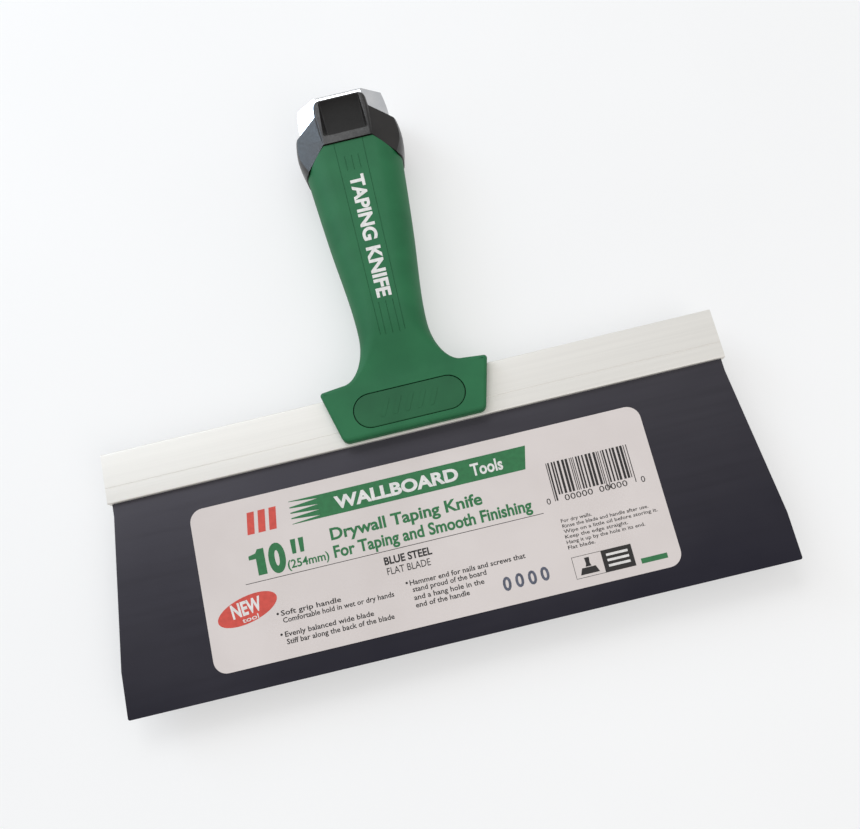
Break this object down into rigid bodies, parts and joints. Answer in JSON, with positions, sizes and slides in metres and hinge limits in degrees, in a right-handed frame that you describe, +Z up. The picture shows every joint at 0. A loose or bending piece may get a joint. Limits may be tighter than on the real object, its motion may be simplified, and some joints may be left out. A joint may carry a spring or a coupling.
{
  "type": "drywall taping knife",
  "caption": "Wide blue-steel taping knife: blade in an aluminium backing, green soft-grip handle, black end collar with a hang hole and a metal hammer cap.",
  "frame": {"origin": "on the surface the knife lies on, under the middle of its bounding box", "axes": "+X along the working edge, +Y from the working edge to the hammer cap, +Z up out of the front face"},
  "size_m": [0.254, 0.227, 0.0256],
  "materials": {
    "blued_steel": "blue-black oxide, satin",
    "satin_aluminium": "satin, extruded",
    "tool_steel": "plain",
    "core_plastic": "moulded",
    "soft_grip": "fine matte",
    "inlay": "smooth",
    "black_plastic": "semi-gloss",
    "cap_metal": "plated",
    "label_paper": "coated"
  },
  "bodies": {
    "root": {"blade": "blued_steel", "backing": "satin_aluminium", "tang": "tool_steel", "core": "core_plastic", "grip": "soft_grip", "front_medallion": "inlay", "back_medallion": "inlay", "rivet_left": "tool_steel", "rivet_centre": "tool_steel", "rivet_right": "tool_steel", "tang_pin_lower": "tool_steel", "tang_pin_upper": "tool_steel", "collar": "black_plastic", "hammer_cap": "cap_metal", "cap_screw_left": "tool_steel", "cap_screw_right": "tool_steel", "label": "label_paper"}
  },
  "joints": []
}
